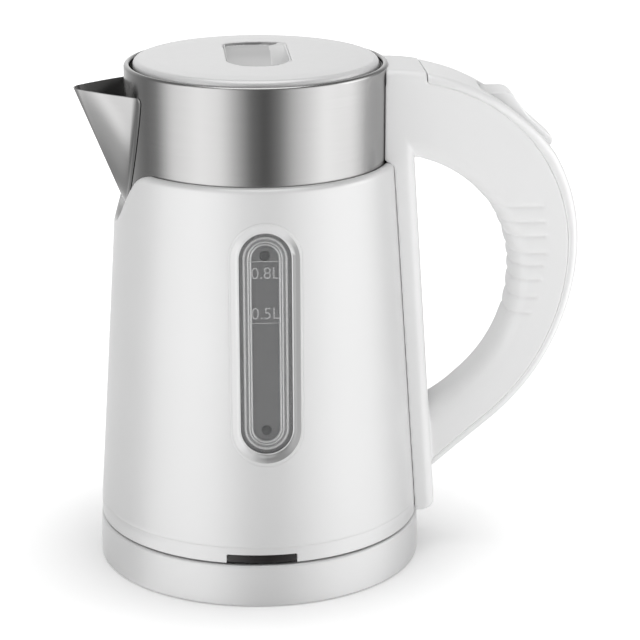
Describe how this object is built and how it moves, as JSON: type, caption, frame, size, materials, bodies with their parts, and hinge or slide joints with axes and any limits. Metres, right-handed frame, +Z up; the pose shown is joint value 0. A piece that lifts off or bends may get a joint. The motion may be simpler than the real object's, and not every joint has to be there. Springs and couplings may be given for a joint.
{
  "type": "electric kettle",
  "caption": "Cordless kettle with a steel collar and V spout, white jacket, water window, C-shaped handle with rocker switch, lift-out lid and round power base.",
  "frame": {"origin": "centre of the power base's underside, on the kettle's own axis, in the plane of the feet", "axes": "+Z up, +X towards the handle (the spout points along -X), the water window faces -Y"},
  "size_m": [0.2032, 0.1336, 0.2078],
  "materials": {
    "white_shell": "satin moulded white plastic",
    "inner_plastic": "plain moulded light grey plastic",
    "dark_plastic": "matt black heat-resistant plastic",
    "steel": "satin stainless steel",
    "aluminium": "plain",
    "contact_metal": "bright",
    "screw_steel": "zinc plated",
    "silicone": "translucent grey silicone",
    "foot_rubber": "matt",
    "switch_plastic": "glossy, slightly translucent white",
    "smoked_lens": "smoked glossy plastic",
    "clear_plastic": "clear moulded plastic",
    "lamp": "frosted"
  },
  "bodies": {
    "power_base": {"base_cover": "white_shell", "base_plate": "inner_plastic", "base_feet": "foot_rubber", "base_screws": "screw_steel", "base_connector": "dark_plastic", "base_contacts": "contact_metal", "cord_gland": "inner_plastic"},
    "coupler": {"kettle_coupler": "dark_plastic", "coupler_pins": "contact_metal"},
    "kettle": {"bottom_cover": "inner_plastic", "bottom_screws": "screw_steel", "heater_plate": "aluminium", "heater_tube": "aluminium", "heater_terminals": "contact_metal", "thermostat": "dark_plastic", "bimetal_disc": "contact_metal", "jacket": "white_shell", "vessel": "steel", "vessel_base": "steel", "vessel_ring": "silicone", "indicator_lens": "smoked_lens", "indicator_lamps": "lamp", "window_frame": "white_shell", "window_pane": "clear_plastic", "gauge_tube": "clear_plastic", "gauge_seals": "silicone", "spout": "steel", "handle_body": "white_shell", "handle_cover": "white_shell", "handle_screws": "screw_steel", "switch_pin": "screw_steel", "steam_switch": "dark_plastic", "steam_tube": "inner_plastic"},
    "lid": {"lid_cap": "white_shell", "lid_body": "inner_plastic", "lid_recess": "white_shell", "lid_seal": "silicone"},
    "switch": {"switch_lever": "switch_plastic"}
  },
  "joints": [
    {"name": "kettle_lift", "type": "slide", "parent": "power_base", "child": "coupler", "axis": [0, 0, 1], "range_m": [0, 0.06]},
    {"name": "kettle_swivel", "type": "hinge", "parent": "coupler", "child": "kettle", "pos_m": [0, 0, 0.02], "axis": [0, 0, 1], "continuous": true},
    {"name": "lid_lift", "type": "slide", "parent": "kettle", "child": "lid", "axis": [0, 0, 1], "range_m": [0, 0.05]},
    {"name": "switch_rock", "type": "hinge", "parent": "kettle", "child": "switch", "pos_m": [0.101, 0, 0.1814], "axis": [0, -1, 0], "range_deg": [0, 8]}
  ]
}
